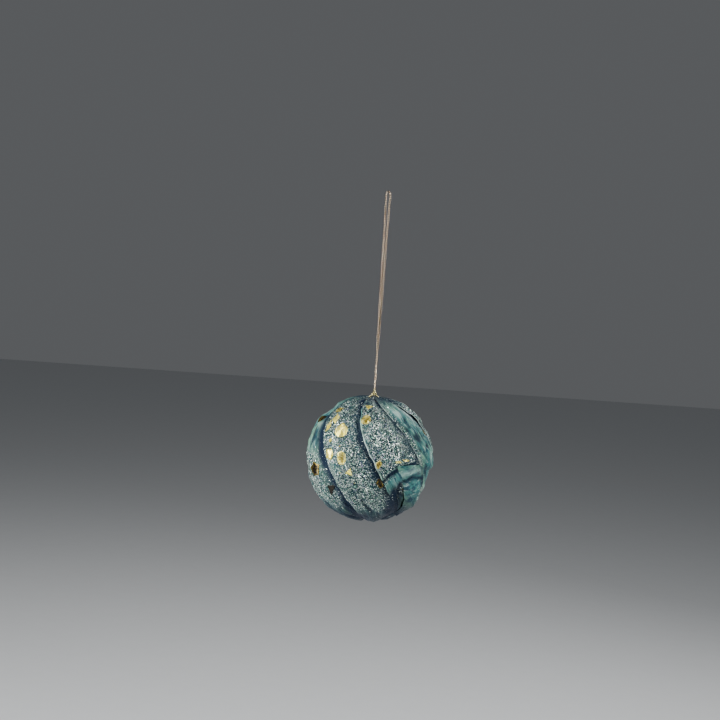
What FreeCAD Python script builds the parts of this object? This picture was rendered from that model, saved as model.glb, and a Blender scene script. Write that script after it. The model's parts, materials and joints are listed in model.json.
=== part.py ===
"""Hanging ball covered with paper leaves: a hollow paper-pulp core in two halves, eight glued
leaves that lap one over the next and swirl from pole to pole, a crumpled patch, flakes of gold
leaf, and a metallic hanging cord that is knotted just above the ball.

Millimetres, +Z up. The origin is at the top of the cord's hanging loop, where a hook bears, and
the ball hangs below it. -Y is the front. Each piece is one STEP file in parts/.
"""

import FreeCAD, Part
import math
import os

Vector = FreeCAD.Vector
UP = Vector(0, 0, 1)

# ---- driving dimensions -------------------------------------------------------------------
core_radius = 40.0           # outer radius of the pulp ball
core_wall = 2.0
hang_drop = 139.0            # from the top of the loop down to the top of the core
cord_diameter = 1.2
glue_gap = 0.03              # film between two glued pieces

lip_height = 3.0             # tongue of the lower half inside the upper half
lip_thickness = 0.9
lip_clearance = 0.1
tape_thickness = 0.15        # gummed tape over the seam
tape_width = 18.0

leaf_thickness = 0.5
leaf_gap = 0.12              # air between a leaf and what it laps
leaf_lift = 2.2              # how far a leaf's free edge stands above its glued edge
leaf_puff = 0.8              # how far the middle of a leaf bulges
leaf_lap = 0.17              # share of a leaf's width that goes on under the next leaf
tip_ring_radius = 5.2        # ring at each pole at which the leaves' tips end

# The free edge of each leaf: its longitude at the equator, how far it leans over 90 degrees of
# latitude, and how far it bows. Longitude 0 faces the front and grows to the right.
leaf_edges = [(-40.5, 50.0, 0.0), (5.0, 53.0, 22.0), (54.0, 52.0, 0.0), (100.0, 50.0, 5.0),
              (143.0, 48.0, 0.0), (187.0, 51.0, 8.0), (230.0, 49.0, 0.0), (274.0, 50.0, 4.0)]

# The crumpled patch lies over the second leaf: the polar angles of its ends, and the shares of
# the leaf's width at its left edge, evenly spaced from its top to its bottom, and at its right.
patch_leaf = 1
patch_ends = (88.0, 146.0)
patch_left = [0.42, 0.39, 0.35, 0.27, 0.20]
patch_right = 1.08
patch_thickness = 0.35

tip_disc_thickness = 0.4     # small paper discs inside the two rings of tips
tip_disc_clearance = 0.6
card_thickness = 0.8         # card glued inside under the cord holes
card_radius = 9.0

cord_hole_clearance = 0.3
bridle_half_span = 2.9       # from the axis to each cord hole
foot_clearance = 0.25        # under the round foot of each bridle leg, above the crown disc
knot_radius = 1.9
knot_height = 2.7            # centre of the knot above the feet of the bridle
knot_clearance = 0.06        # between the knot and each strand that meets it
stitch_slack = 0.25          # under the card, and between the stitch and the feet

flake_thickness = 0.08
flake_gap = 0.04             # film of size under each flake of gold leaf

# Flakes of gold leaf: longitude, polar angle, width, height (below zero points down), lean to
# the right in degrees, corners.
flakes = [
    (-54, 40, 6.0, 5.8, -25, 5), (-46.5, 50, 4.8, -9.6, -29, 4), (-51.4, 58.3, 4.2, 9.4, -3, 4),
    (-32.4, 60.5, 7.4, 10.4, -12, 9), (-40, 71, 2.8, 2.6, 0, 4), (-38, 82.8, 7.0, 7.8, 20, 5),
    (-24.8, 84.5, 6.4, 8.2, 0, 7), (-17, 95.6, 4.6, 5.6, 15, 3), (-7.8, 30.8, 6.0, -5.6, 0, 3),
    (-8.2, 47.1, 6.4, 7.6, 10, 7), (6.8, 88, 4.0, 5.6, 10, 5), (24.2, 84.6, 5.2, 1.3, 0, 5),
    (33, 83.4, 6.0, 1.2, 3, 5), (10.5, 105, 4.6, 7.6, -25, 5), (-57, 98.7, 8.0, 9.6, -20, 5),
    (-39.5, 115, 6.4, -8.4, 0, 3), (-81.5, 53.8, 5.0, 7.0, 0, 6), (76, 60, 3.8, 5.0, 20, 5),
    (116, 60, 4.2, 6.6, 30, 5), (128, 84, 5.6, 7.4, -15, 7), (163, 76, 5.4, 6.2, 25, 6),
    (168, 102, 4.4, 5.6, 40, 5), (192, 60, 5.2, 8.2, 25, 6), (203, 84, 6.0, 6.6, -10, 8),
    (216, 112, 4.6, 6.4, 15, 5), (236, 72, 5.0, 7.6, 35, 6), (254, 98, 4.4, 5.6, -25, 4),
    (240, 50, 4.6, 5.4, 10, 6),
]

# ---- sizes and places worked out from them ------------------------------------------------
cord_radius = cord_diameter / 2
centre = Vector(0, 0, -hang_drop - core_radius)
core_inner = core_radius - core_wall
leaf_floor = glue_gap + tape_thickness + glue_gap   # a leaf's glued edge, above the core
leaf_step = leaf_thickness + leaf_gap
tip_angle = math.degrees(math.asin(tip_ring_radius / core_radius))
tip_disc_inner = core_radius + glue_gap
tip_disc_outer = tip_disc_inner + tip_disc_thickness
card_inner = core_inner - glue_gap - card_thickness
foot_z = centre.z + tip_disc_outer + foot_clearance + cord_radius
knot_z = foot_z + knot_height


def ball_point(radius, polar, longitude):
    """A point at that radius from the ball's centre; degrees, polar angle from the top."""
    p = math.radians(polar)
    a = math.radians(longitude)
    return centre + Vector(radius * math.sin(p) * math.sin(a),
                           -radius * math.sin(p) * math.cos(a),
                           radius * math.cos(p))


# ---- the pulp core and what is stuck to it ------------------------------------------------
def shell_of(inner, outer):
    return Part.makeSphere(outer, centre).cut(Part.makeSphere(inner, centre))


def half_space(above):
    """A block that holds everything above, or below, the ball's equator."""
    size = 3 * core_radius
    corner = centre - Vector(size / 2, size / 2, 0 if above else size)
    return Part.makeBox(size, size, size, corner)


def cut_cord_holes(shape):
    """Cuts the two cord holes, which run down beside the ball's axis."""
    for x in (-bridle_half_span, bridle_half_span):
        start = Vector(x, 0, centre.z + core_radius / 2)
        shape = shape.cut(Part.makeCylinder(cord_radius + cord_hole_clearance, core_radius, start))
    return shape


def core_upper():
    half = shell_of(core_inner, core_radius).common(half_space(True))
    rebate = Part.makeCylinder(core_inner + lip_thickness + lip_clearance,
                               lip_height + lip_clearance, centre)
    return cut_cord_holes(half.cut(rebate))


def core_lower():
    """The lower half, with a tongue that starts inside its wall and enters the upper half."""
    half = shell_of(core_inner, core_radius).common(half_space(False))
    root = centre - Vector(0, 0, lip_thickness)
    tongue = Part.makeCylinder(core_inner + lip_thickness, lip_thickness + lip_height, root)
    bore = Part.makeCylinder(core_inner, lip_thickness + lip_height, root)
    return half.fuse(tongue.cut(bore)).removeSplitter()


def seam_tape():
    band = shell_of(tip_disc_inner, tip_disc_inner + tape_thickness)
    start = centre - Vector(0, 0, tape_width / 2)
    return band.common(Part.makeCylinder(2 * core_radius, tape_width, start))


def polar_disc(inner, thickness, radius, towards):
    """A dished disc about the pole that lies on that side."""
    pin = Part.makeCylinder(radius, 2 * core_radius, centre, towards)
    return shell_of(inner, inner + thickness).common(pin)


def crown_disc():
    radius = tip_ring_radius - tip_disc_clearance
    return cut_cord_holes(polar_disc(tip_disc_inner, tip_disc_thickness, radius, UP))


def base_disc():
    radius = tip_ring_radius - tip_disc_clearance
    return polar_disc(tip_disc_inner, tip_disc_thickness, radius, -UP)


def reinforcing_disc():
    return cut_cord_holes(polar_disc(card_inner, card_thickness, card_radius, UP))


# ---- the paper leaves ---------------------------------------------------------------------
def edge_longitude(leaf, polar):
    """Longitude of a leaf's free edge at that polar angle; the leaf after the last is the first."""
    turn, index = divmod(leaf, len(leaf_edges))
    at_equator, lean, bow = leaf_edges[index]
    quarter = (polar - 90.0) / 90.0
    return at_equator + lean * quarter + bow * quarter ** 2 + 360.0 * turn


def leaf_height(across, polar):
    """Height of a leaf's underside above the core. across is 0 at the leaf's free edge and 1
    where the next leaf's free edge lies; past that the leaf is glued flat."""
    if across >= 1.0:
        return leaf_floor
    swell = math.sin(math.radians(polar)) ** 0.7
    lift = leaf_step + (leaf_lift - leaf_step) * swell + leaf_gap
    fall = math.cos(math.pi * across / 2) ** 2
    bulge = math.sin(math.pi * across) ** 2
    return leaf_floor + lift * fall + leaf_puff * swell * bulge


def grid_face(points):
    surface = Part.BSplineSurface()
    surface.interpolate(points)
    return surface.toShape()


def solid_between(lower, upper):
    """The closed solid between two four-sided faces whose edges run in the same order."""
    sides = [Part.makeRuledSurface(a, b) for a, b in zip(lower.Edges, upper.Edges)]
    shell = Part.makeShell([lower, upper] + sides)
    shell.sewShape()
    solid = Part.makeSolid(shell)
    if solid.Volume < 0:
        solid.reverse()
    return solid


def sheet_on_leaf(index, rise, thickness, polars, shares):
    """A curved sheet that follows a leaf's underside, rise above it. shares(v) gives the left
    and right sides as shares of the leaf's width, v going from 0 at the top to 1."""
    rows, columns = 27, 15
    under, over = [], []
    for row in range(rows):
        v = row / (rows - 1)
        polar = polars[0] + (polars[1] - polars[0]) * v
        start = edge_longitude(index, polar)
        width = edge_longitude(index + 1, polar) - start
        left, right = shares(v)
        under_row, over_row = [], []
        for column in range(columns):
            across = left + (right - left) * column / (columns - 1)
            radius = core_radius + leaf_height(across, polar) + rise
            longitude = start + across * width
            under_row.append(ball_point(radius, polar, longitude))
            over_row.append(ball_point(radius + thickness, polar, longitude))
        under.append(under_row)
        over.append(over_row)
    return solid_between(grid_face(under), grid_face(over))


def paper_leaf(index):
    """A curved strip that tapers to both poles and laps over the leaf on its left."""
    polars = (tip_angle, 180.0 - tip_angle)
    return sheet_on_leaf(index, 0.0, leaf_thickness, polars, lambda v: (0.0, 1.0 + leaf_lap))


def folded_patch():
    """The crumpled patch: glued over one leaf, with its right side tucked under the next."""
    def shares(v):
        at = v * (len(patch_left) - 1)
        low = min(int(at), len(patch_left) - 2)
        return patch_left[low] + (patch_left[low + 1] - patch_left[low]) * (at - low), patch_right

    return sheet_on_leaf(patch_leaf, leaf_thickness + leaf_gap, patch_thickness, patch_ends, shares)


# ---- the gold leaf ------------------------------------------------------------------------
def flake_cutter(longitude, polar, width, height, lean, corners):
    """A prism along the ball's radius with a flake's uneven outline."""
    foot = ball_point(core_radius, polar, longitude)
    outward = (foot - centre).normalize()
    across = UP.cross(outward).normalize()
    upward = outward.cross(across)
    cos_lean = math.cos(math.radians(lean))
    sin_lean = math.sin(math.radians(lean))
    outline = []
    for corner in range(corners):
        angle = 2 * math.pi * corner / corners
        uneven = 1.0 + 0.12 * math.sin(2.3 * corner + longitude)
        x = width / 2 * uneven * math.sin(angle)
        y = height / 2 * uneven * math.cos(angle)
        outline.append(foot + across * (x * cos_lean + y * sin_lean)
                       + upward * (y * cos_lean - x * sin_lean))
    face = Part.Face(Part.makePolygon(outline + outline[:1]))
    return face.extrude(outward * core_radius / 4)


def leaf_under(longitude, polar):
    """The leaf that shows at that place."""
    for index in range(-len(leaf_edges), 2 * len(leaf_edges)):
        if edge_longitude(index, polar) <= longitude < edge_longitude(index + 1, polar):
            return index % len(leaf_edges)


def gold_flakes(index):
    """The flakes of gold leaf on one leaf, each bent to follow the paper."""
    polars = (tip_angle + 5.0, 175.0 - tip_angle)
    film = sheet_on_leaf(index, leaf_thickness + flake_gap, flake_thickness, polars,
                         lambda v: (0.02, 0.94))
    own = [flake for flake in flakes if leaf_under(flake[0], flake[1]) == index]
    return Part.makeCompound([film.common(flake_cutter(*flake)) for flake in own])


# ---- the cord -----------------------------------------------------------------------------
def rounded_path(name, points, radius=None):
    """Straight runs joined by a tangent arc at each inner point. With no radius given, an arc's
    is 0.45 of the shorter run beside it, divided by the tangent of half the turn."""
    edges, radii, at = [], [], points[0]
    for before, corner, after in zip(points, points[1:], points[2:]):
        back = (before - corner).normalize()
        on = (after - corner).normalize()
        half_turn = (math.pi - back.getAngle(on)) / 2
        run = min((before - corner).Length, (after - corner).Length)
        bend = radius or 0.45 * run / math.tan(half_turn)
        reach = bend * math.tan(half_turn)
        first = corner + back * reach
        last = corner + on * reach
        middle = corner + (back + on).normalize() * (bend / math.cos(half_turn) - bend)
        edges.append(Part.LineSegment(at, first).toShape())
        edges.append(Part.Arc(first, middle, last).toShape())
        radii.append(round(bend, 1))
        at = last
    edges.append(Part.LineSegment(at, points[-1]).toShape())
    print(name, "bend radii", radii)
    return Part.Wire(edges)


def tube(name, path):
    """A round cord along a path."""
    first = path.OrderedEdges[0]
    start = first.valueAt(first.FirstParameter)
    along = first.tangentAt(first.FirstParameter)
    section = Part.Wire(Part.makeCircle(cord_radius, start, along))
    pipe = path.makePipeShell([section], True, False)
    share = pipe.Volume / (math.pi * cord_radius ** 2 * path.Length)
    print(name, "length %.1f, volume over section times length %.4f" % (path.Length, share))
    return pipe


def anchor_stitch():
    """The cord's hidden part: down one hole, under the card, and up the other."""
    top = foot_z - cord_radius - stitch_slack
    low = centre.z + card_inner - cord_radius - stitch_slack
    x = bridle_half_span
    points = [Vector(-x, 0, top), Vector(-x, 0, low), Vector(x, 0, low), Vector(x, 0, top)]
    return tube("anchor stitch", rounded_path("anchor stitch", points, cord_diameter))


def bridle_leg(side):
    """From just under the knot to a cord hole, with a round foot that turns in place."""
    foot = Vector(side * bridle_half_span, 0, foot_z)
    knot = Vector(0, 0, knot_z)
    away = (foot - knot).normalize()
    start = knot + away * (knot_radius + knot_clearance)
    leg = Part.makeCylinder(cord_radius, (foot - start).Length, start, away)
    return leg.fuse(Part.makeSphere(cord_radius, foot))


def cord_knot():
    return Part.makeSphere(knot_radius, Vector(0, 0, knot_z))


def hanging_cord():
    """The doubled cord: up from the knot, round the hook at the top, and down again. The pair
    lies one behind the other at the knot and side by side at the top."""
    bottom = knot_z + knot_radius + knot_clearance
    # Half of the route: x and y of the left strand in cord diameters, and its share of the rise.
    half = [(0.00, -0.55, 0.0), (-0.10, -0.58, 0.15), (-0.40, -0.43, 0.33), (-0.58, -0.10, 0.52),
            (-0.68, 0.00, 0.715), (-0.93, 0.01, 0.88), (-1.08, 0.00, 0.962)]
    left = [Vector(x * cord_diameter, y * cord_diameter, bottom * (1 - share))
            for x, y, share in half]
    left.append(Vector(-1.15 * cord_diameter, 0, cord_radius))
    right = [Vector(-p.x, -p.y, p.z) for p in reversed(left)]
    return tube("hanging cord", rounded_path("hanging cord", left + right))


def build():
    pieces = {
        "core_upper": core_upper(), "core_lower": core_lower(), "seam_tape": seam_tape(),
        "crown_disc": crown_disc(), "base_disc": base_disc(),
        "reinforcing_disc": reinforcing_disc(), "folded_patch": folded_patch(),
        "anchor_stitch": anchor_stitch(), "bridle_leg_left": bridle_leg(-1),
        "bridle_leg_right": bridle_leg(1), "cord_knot": cord_knot(),
        "hanging_cord": hanging_cord(),
    }
    for index in range(len(leaf_edges)):
        pieces["paper_leaf_%d" % (index + 1)] = paper_leaf(index)
        pieces["gold_flakes_%d" % (index + 1)] = gold_flakes(index)
    return pieces


os.makedirs("parts", exist_ok=True)
for name, shape in build().items():
    if not shape.isValid() or not shape.Solids:
        raise ValueError(name + " is not a valid solid")
    shape.exportStep("parts/" + name + ".step")
    print(name, len(shape.Solids), "solids, %.1f mm3" % shape.Volume)
print("ball centre %.3f, feet %.3f, knot %.3f" % (centre.z, foot_z, knot_z))
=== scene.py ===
"""The looks of a hanging paper ball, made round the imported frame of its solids: eight crinkled
leaves of marbled and glittered paper, gold leaf, and a twisted metallic cord with its knot."""

import json
import math
import random
from functools import partial

import bpy
import numpy as np
from mathutils import Matrix, Vector, noise

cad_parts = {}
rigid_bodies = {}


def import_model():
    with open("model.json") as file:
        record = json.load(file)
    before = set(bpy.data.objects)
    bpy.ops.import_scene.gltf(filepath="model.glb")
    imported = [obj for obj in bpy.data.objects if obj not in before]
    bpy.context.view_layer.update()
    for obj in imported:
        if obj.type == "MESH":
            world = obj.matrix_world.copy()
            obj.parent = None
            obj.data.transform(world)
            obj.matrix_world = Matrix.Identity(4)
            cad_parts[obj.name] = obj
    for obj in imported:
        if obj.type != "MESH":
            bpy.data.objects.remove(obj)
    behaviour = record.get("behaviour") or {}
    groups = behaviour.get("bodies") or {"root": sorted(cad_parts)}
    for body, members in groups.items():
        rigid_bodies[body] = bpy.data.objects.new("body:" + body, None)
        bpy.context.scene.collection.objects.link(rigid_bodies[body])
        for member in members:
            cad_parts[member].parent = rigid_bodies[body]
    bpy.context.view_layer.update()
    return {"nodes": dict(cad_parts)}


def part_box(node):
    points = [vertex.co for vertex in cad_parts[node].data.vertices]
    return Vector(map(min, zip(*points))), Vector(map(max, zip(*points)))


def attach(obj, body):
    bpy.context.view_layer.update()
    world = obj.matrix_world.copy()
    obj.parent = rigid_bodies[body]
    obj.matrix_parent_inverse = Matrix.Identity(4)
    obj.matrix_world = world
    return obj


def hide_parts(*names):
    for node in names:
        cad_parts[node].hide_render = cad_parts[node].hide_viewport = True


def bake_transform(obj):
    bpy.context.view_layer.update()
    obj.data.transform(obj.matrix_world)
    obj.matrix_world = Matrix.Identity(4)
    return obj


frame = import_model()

bl_info = {
    "name": "Hanging paper ball",
    "version": (1, 0, 0),
    "blender": (4, 5, 0),
    "location": "View3D > Sidebar > Paper Ball",
    "description": "Makes the leaves, glitter, gold leaf and cord of a hanging paper ball",
    "category": "Object",
}

MM = 0.001

# ---- places taken from the frame ----------------------------------------------------------
CORE_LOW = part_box("core_lower")[0].z
CORE_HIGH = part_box("core_upper")[1].z
CORE_RADIUS = (CORE_HIGH - CORE_LOW) / 2
CENTRE = Vector((0, 0, (CORE_HIGH + CORE_LOW) / 2))
KNOT_LOW, KNOT_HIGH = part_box("cord_knot")
KNOT = (KNOT_LOW + KNOT_HIGH) / 2
KNOT_RADIUS = (KNOT_HIGH.x - KNOT_LOW.x) / 2
CORD_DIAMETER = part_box("bridle_leg_right")[1].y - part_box("bridle_leg_right")[0].y
CORD_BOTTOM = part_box("hanging_cord")[0].z
LEG_FOOT = Vector((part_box("bridle_leg_right")[1].x - CORD_DIAMETER / 2, 0,
                   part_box("bridle_leg_right")[0].z + CORD_DIAMETER / 2))
STITCH_LOW, STITCH_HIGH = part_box("anchor_stitch")
TIP_DISC_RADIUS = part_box("crown_disc")[1].x

# The free edge of each leaf: its longitude at the equator, how far it leans over 90 degrees of
# latitude, and how far it bows. Longitude 0 faces the front and grows to the right.
LEAF_EDGES = [(-40.5, 50.0, 0.0), (5.0, 53.0, 22.0), (54.0, 52.0, 0.0), (100.0, 50.0, 5.0),
              (143.0, 48.0, 0.0), (187.0, 51.0, 8.0), (230.0, 49.0, 0.0), (274.0, 50.0, 4.0)]
LEAF_COUNT = len(LEAF_EDGES)
PATCH_LEAF = 1      # the leaf that the crumpled patch lies over
PATCH_ENDS = (88.0, 146.0)                    # polar angles of its top and bottom
PATCH_LEFT = [0.42, 0.38, 0.32, 0.24, 0.17]   # its left edge, in shares of the leaf's width
PATCH_RIGHT = 1.06                            # its right edge, under the next leaf
PATCH_THICKNESS = 0.35 * MM
PATCH_CRINKLE = 5                             # it is crinkled as this leaf is
LEAF_GRID, PATCH_GRID = (((230, 76), (110, 70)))
SIDE_BULGE = 0.6    # how far the plain leaf beside it bulges at the right, in mm

# How thickly each leaf is strewn with glitter, above and below the equator.
LEAF_GLITTER = [(0.95, 1.0), (1.0, 1.0), (0.0, 0.04), (0.75, 0.35),
                (1.0, 0.9), (0.05, 0.3), (0.9, 1.0), (0.12, 0.85)]

# How each leaf's free edge lies: its lift above and below the equator, as a share of the usual
# lift; how far it rolls down again, as a share of its height and of the leaf's width; and how dark
# the painted shade lies in the valley at the leaf's other side, under the next leaf's free edge.
LEAF_LIE = [(1.05, 1.0, 0.15, 0.04, 0.86), (0.9, 0.2, 0.1, 0.02, 0.72),
            (0.8, 0.95, 0.55, 0.11, 0.85), (0.9, 1.0, 0.4, 0.08, 0.9),
            (1.0, 0.8, 0.25, 0.05, 0.85), (0.9, 0.9, 0.45, 0.1, 0.75),
            (1.0, 1.0, 0.2, 0.04, 0.95), (0.85, 1.0, 0.4, 0.09, 1.0)]

# Where a leaf is drawn in against the core: leaf, polar angle, half width and how much.
LEAF_DENTS = [(2, 112.0, 17.0, 0.95), (3, 104.0, 17.0, 0.9), (7, 43.0, 7.0, 0.7),
              (3, 60.0, 8.0, 0.4), (4, 118.0, 10.0, 0.6), (5, 74.0, 9.0, 0.5),
              (6, 100.0, 8.0, 0.45)]

# Gold leaf: longitude, polar angle, width and height in mm (below zero points down), lean to the
# right in degrees, corners, and how bright the flake is at its middle and its rim, 0 to 1.
FLAKES = [
    (-54, 40, 6.0, 5.8, -25, 5, 0.5, 0.6), (-46.5, 50, 4.8, -9.6, -29, 4, 1.0, 1.0),
    (-51.4, 58.3, 4.2, 9.4, -3, 4, 1.0, 1.0), (-32.4, 60.5, 7.4, 10.4, -12, 9, 1.0, 1.0),
    (-40, 71, 2.8, 2.6, 0, 4, 1.0, 1.0), (-38, 82.8, 7.0, 7.8, 20, 5, 0.9, 1.0),
    (-24.8, 84.5, 6.4, 8.2, 0, 7, 0.5, 1.0), (-17, 95.6, 4.6, 5.6, 15, 3, 1.0, 1.0),
    (-7.8, 30.8, 6.0, -5.6, 0, 3, 0.7, 0.8), (-8.2, 47.1, 6.4, 7.6, 10, 7, 0.5, 0.7),
    (6.8, 88, 4.0, 5.6, 10, 5, 0.35, 0.7), (24.2, 84.6, 5.2, 1.3, 0, 5, 0.8, 0.8),
    (33, 83.4, 6.0, 1.2, 3, 5, 0.7, 0.8), (10.5, 105, 4.6, 7.6, -25, 5, 0.02, 0.4),
    (-57, 98.7, 8.0, 9.6, -20, 5, 0.05, 0.35), (-39.5, 115, 6.4, -8.4, 0, 3, 0.0, 0.0),
    (-81.5, 53.8, 5.0, 7.0, 0, 6, 0.2, 0.25), (76, 60, 3.8, 5.0, 20, 5, 0.3, 0.4),
    (116, 60, 4.2, 6.6, 30, 5, 0.9, 1.0), (128, 84, 5.6, 7.4, -15, 7, 0.8, 1.0),
    (163, 76, 5.4, 6.2, 25, 6, 1.0, 1.0), (168, 102, 4.4, 5.6, 40, 5, 0.5, 0.7),
    (192, 60, 5.2, 8.2, 25, 6, 1.0, 1.0), (203, 84, 6.0, 6.6, -10, 8, 0.6, 1.0),
    (216, 112, 4.6, 6.4, 15, 5, 0.1, 0.2), (236, 72, 5.0, 7.6, 35, 6, 0.85, 1.0),
    (254, 98, 4.4, 5.6, -25, 4, 0.5, 0.6), (240, 50, 4.6, 5.4, 10, 6, 1.0, 1.0),
]

FLAKE_SIDE_POINTS = 5                 # points along each side of a flake
FLAKE_RINGS = (0.3, 0.6, 0.85, 1.0)   # rings of points out from its middle, as shares of its reach

# Half of the hanging cord's route: x and y of the left strand in cord diameters, and its share of
# the rise from the knot to the top. The right strand is the same, half a turn round.
CORD_HALF = [(0.00, -0.55, 0.0), (-0.10, -0.58, 0.15), (-0.40, -0.43, 0.33), (-0.58, -0.10, 0.52),
             (-0.68, 0.00, 0.715), (-0.93, 0.01, 0.88), (-1.08, 0.00, 0.962)]
CORD_BIGHT = 1.15       # half the width of the bight, in cord diameters
KNOT_POINTS = 60        # in one turn of the line that the knot follows
KNOT_DEPTH = 0.62 * MM  # how far that line swings forwards and back


def linear(hexa):
    """An sRGB hex colour as linear red, green, blue and alpha."""
    parts = [int(hexa[i:i + 2], 16) / 255 for i in (1, 3, 5)]
    return [c / 12.92 if c <= 0.04045 else ((c + 0.055) / 1.055) ** 2.4 for c in parts] + [1.0]


def colour(name, description, hexa):
    return bpy.props.FloatVectorProperty(name=name, description=description, subtype="COLOR",
                                         size=4, min=0, max=1, default=linear(hexa))


def length(name, description, default):
    return bpy.props.FloatProperty(name=name, description=description, default=default,
                                   unit="LENGTH", precision=5)


def number(name, description, default):
    return bpy.props.FloatProperty(name=name, description=description, default=default)


def count(name, description, default):
    return bpy.props.IntProperty(name=name, description=description, default=default)


# ---- what a user may change ---------------------------------------------------------------
class PaperSettings(bpy.types.PropertyGroup):
    """The paper leaves, the patch and the discs."""
    thickness: length("Thickness", "Thickness of the glued layers of one leaf", 0.5 * MM)
    gap: length("Gap", "Air between a leaf and what it laps", 0.12 * MM)
    floor: length("Floor", "Height of a leaf's glued edge above the core", 0.24 * MM)
    lift: length("Lift", "How far a leaf's free edge stands off", 2.3 * MM)
    puff: length("Puff", "How far the middle of a leaf bulges", 1.2 * MM)
    tip_ring: length("Tip ring", "Radius at which the tips end at each pole", 5.2 * MM)
    lap: number("Lap", "Share of a leaf's width that goes on under the next", 0.15)
    fold_depth: length("Fold depth", "Depth of the long soft folds", 0.9 * MM)
    crease_depth: length("Crease depth", "Depth of the sharp creases", 1.3 * MM)
    wander: length("Wander", "How far a free edge strays from its line", 0.9 * MM)
    teal: colour("Teal", "The marbled paper's main colour", "#3b6f6c")
    green: colour("Green", "Its pale green veins", "#709a82")
    navy: colour("Navy", "Its dark veins", "#16384a")
    # The colour of the painted shade in the valleys beside the next leaf, in the folds and near
    # the tips.
    painted_shade: colour("Ink", "Where the paint lies thickest, in the valleys", "#061a2e")
    # Also the colour of the painted highlight on ridges and free edges, besides the pale fibres.
    pale: colour("Pale", "Worn ridges and torn edges", "#c3d8cf")
    under: colour("Under the glitter", "Painted ground of the glittered paper", "#1a353b")


class GlitterSettings(bpy.types.PropertyGroup):
    """The glitter grains and the gold crumbs."""
    grain: length("Grain", "Width of the largest grain", 0.95 * MM)
    density: number("Density", "Grains in a square millimetre where it is thickest", 1.5)
    tilt: number("Tilt", "How far a grain leans, in radians", 0.5)
    seed: count("Seed", "Seed of the scatter", 4)
    silver: colour("Silver", "Most of the grains", "#dbe8dd")
    smoke: colour("Smoke", "The dark grains", "#1f3135")
    lilac: colour("Lilac", "A few of the grains", "#8d82a4")
    mint: colour("Mint", "A few of the grains", "#7fa695")


class GoldSettings(bpy.types.PropertyGroup):
    """The gold leaf."""
    thickness: length("Thickness", "Thickness of a flake", 0.06 * MM)
    crumb: length("Crumb", "Width of the largest crumb of gold leaf", 1.7 * MM)
    crumb_density: number("Crumb density", "Crumbs in a square millimetre", 0.012)
    bright: colour("Bright", "Gold leaf that lies well", "#ffee52")
    pale: colour("Pale", "Its lightest patches", "#fff79c")
    deep: colour("Deep", "Rubbed gold", "#7d6a1e")
    black: colour("Black", "Tarnished flakes", "#17130a")


class CordSettings(bpy.types.PropertyGroup):
    """The twisted metallic cord."""
    diameter: length("Diameter", "Diameter of the cord", CORD_DIAMETER)
    pitch: length("Pitch", "Length of one turn of the plies", 5.1 * MM)
    winding: length("Winding", "From one turn of the foil to the next", 1.6 * MM)
    plies: count("Plies", "Plies in the cord", 3)
    gold: colour("Gold", "The foil of the cord", "#e8d5bb")
    copper: colour("Copper", "Its copper-toned strips", "#a8734c")
    knot: colour("Knot", "The foil pressed flat in the knot", "#ddd29a")
    # Also the colour of the painted shade in the grooves between the plies.
    shade: colour("Shade", "The thread between the foil strips", "#170d06")


class StageSettings(bpy.types.PropertyGroup):
    """The camera, the lights and the floor."""
    lens: number("Lens", "Focal length in millimetres", 60.0)
    distance: length("Distance", "From the camera to the ball along the view", 0.8124)
    elevation: number("Elevation", "Degrees that the camera looks down at the ball", 8.0)
    roll: number("Roll", "Degrees that the camera is turned", 4.0)
    ball_right: number("Ball right", "The ball right of the middle, in picture widths", 0.0135)
    ball_below: number("Ball below", "The ball below the middle, in picture widths", 0.1360)
    floor_drop: length("Floor drop", "From the ball's middle down to the floor", 0.42)
    floor: colour("Floor", "Plain pale floor", "#d9dbdc")
    sky: colour("Surround", "Plain pale surround", "#dfe3e8")


# ---- meshes -------------------------------------------------------------------------------
def mesh_piece(name, points, faces, material, attributes, stands_for):
    """A finished piece of the ball: a mesh with its material, and values at its points."""
    mesh = bpy.data.meshes.new(name)
    mesh.from_pydata(np.asarray(points).tolist(), [], faces)
    for key, values in attributes.items():
        values = np.asarray(values, dtype=np.float32)
        kind, field = ("FLOAT", "value") if values.ndim == 1 else ("FLOAT_VECTOR", "vector")
        mesh.attributes.new(key, kind, "POINT").data.foreach_set(field, values.ravel())
    mesh.shade_smooth()
    mesh.materials.append(material)
    return place(name, mesh, "ball", stands_for)


def in_scene(name, data):
    """An object in the scene that shows a mesh, a curve, a light or a camera."""
    made = bpy.data.objects.new(name, data)
    bpy.context.scene.collection.objects.link(made)
    return made


def place(name, mesh, body, stands_for=()):
    """Puts a mesh into the scene as a piece of the object, riding on a body if one is given."""
    mesh.name = name
    piece = in_scene(name, mesh)
    if stands_for:
        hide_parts(*stands_for)
    if body:
        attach(piece, body)
    return piece


def noise_at(points, scale, seed=0.0):
    """Smooth noise from -1 to 1 at each point, with features about as large as scale."""
    shift = Vector((seed * 17.3, seed * 5.1, seed * 9.7))
    return np.array([noise.noise(Vector(p) / scale + shift) for p in points])


def smooth_step(low, high, values):
    """0 at low and 1 at high, smooth between them; low may be the larger."""
    t = np.clip((np.asarray(values, float) - low) / (high - low), 0.0, 1.0)
    return t * t * (3 - 2 * t)


# ---- the shape of the paper ---------------------------------------------------------------
def leaf_edge(leaf, polar):
    """Longitude of a leaf's free edge at that polar angle, in degrees."""
    turn, index = divmod(leaf, LEAF_COUNT)
    at_equator, lean, bow = LEAF_EDGES[index]
    quarter = (polar - 90.0) / 90.0
    return at_equator + lean * quarter + bow * quarter ** 2 + 360.0 * turn


def on_ball(radius, polar, longitude):
    """Points at those radii from the ball's centre, angles in degrees."""
    p = np.radians(polar)
    a = np.radians(longitude)
    return np.stack([radius * np.sin(p) * np.sin(a), -radius * np.sin(p) * np.cos(a),
                     radius * np.cos(p) + CENTRE.z], axis=-1)


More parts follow.
